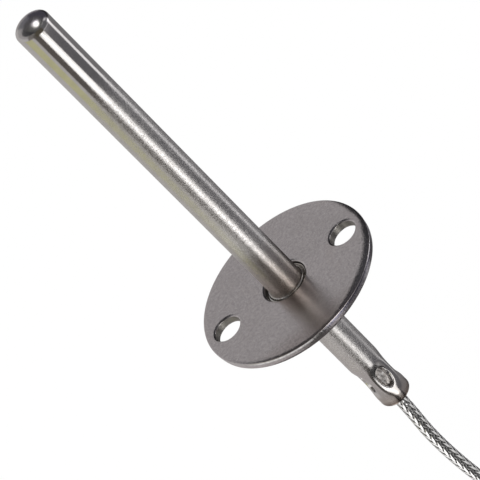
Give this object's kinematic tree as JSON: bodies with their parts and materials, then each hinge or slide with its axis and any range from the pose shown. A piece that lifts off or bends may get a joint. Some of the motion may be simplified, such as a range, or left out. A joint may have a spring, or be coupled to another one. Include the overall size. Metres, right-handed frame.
{
  "type": "wire thermocouple",
  "caption": "Stainless temperature probe: closed straight tube through a round screw flange, crimped at the rear onto a steel-braided lead with fork lugs.",
  "frame": {"origin": "centre of the screw hole circle on the flange's front face", "axes": "+Z along the probe to its closed tip, +X through the two screw holes"},
  "size_m": [0.0402, 0.032, 0.228],
  "materials": {
    "sheath_steel": "satin",
    "flange_steel": "satin",
    "weld_metal": "as welded",
    "bead_metal": "as welded",
    "positive_wire_metal": "bare drawn wire",
    "negative_wire_metal": "bare drawn wire",
    "wire_sleeve_fibre": "woven",
    "tip_cement_fill": "matte",
    "steel_braid": "braided",
    "tie_plastic": "matte",
    "end_sleeve_plastic": "matte",
    "positive_lead_fibre": "woven",
    "negative_lead_fibre": "woven",
    "terminal_metal": "tinned",
    "positive_boot_plastic": "satin",
    "negative_boot_plastic": "satin"
  },
  "bodies": {
    "root": {"probe_sheath": "sheath_steel", "mounting_flange": "flange_steel", "flange_weld": "weld_metal", "hot_junction": "bead_metal", "positive_wire": "positive_wire_metal", "negative_wire": "negative_wire_metal", "positive_sleeve": "wire_sleeve_fibre", "negative_sleeve": "wire_sleeve_fibre", "tip_cement": "tip_cement_fill", "braided_cable": "steel_braid", "cable_coil": "steel_braid", "cable_tail": "steel_braid", "coil_tie": "tie_plastic", "braid_end_sleeve": "end_sleeve_plastic", "positive_lead": "positive_lead_fibre", "negative_lead": "negative_lead_fibre", "positive_terminal": "terminal_metal", "negative_terminal": "terminal_metal", "positive_boot": "positive_boot_plastic", "negative_boot": "negative_boot_plastic"}
  },
  "joints": []
}
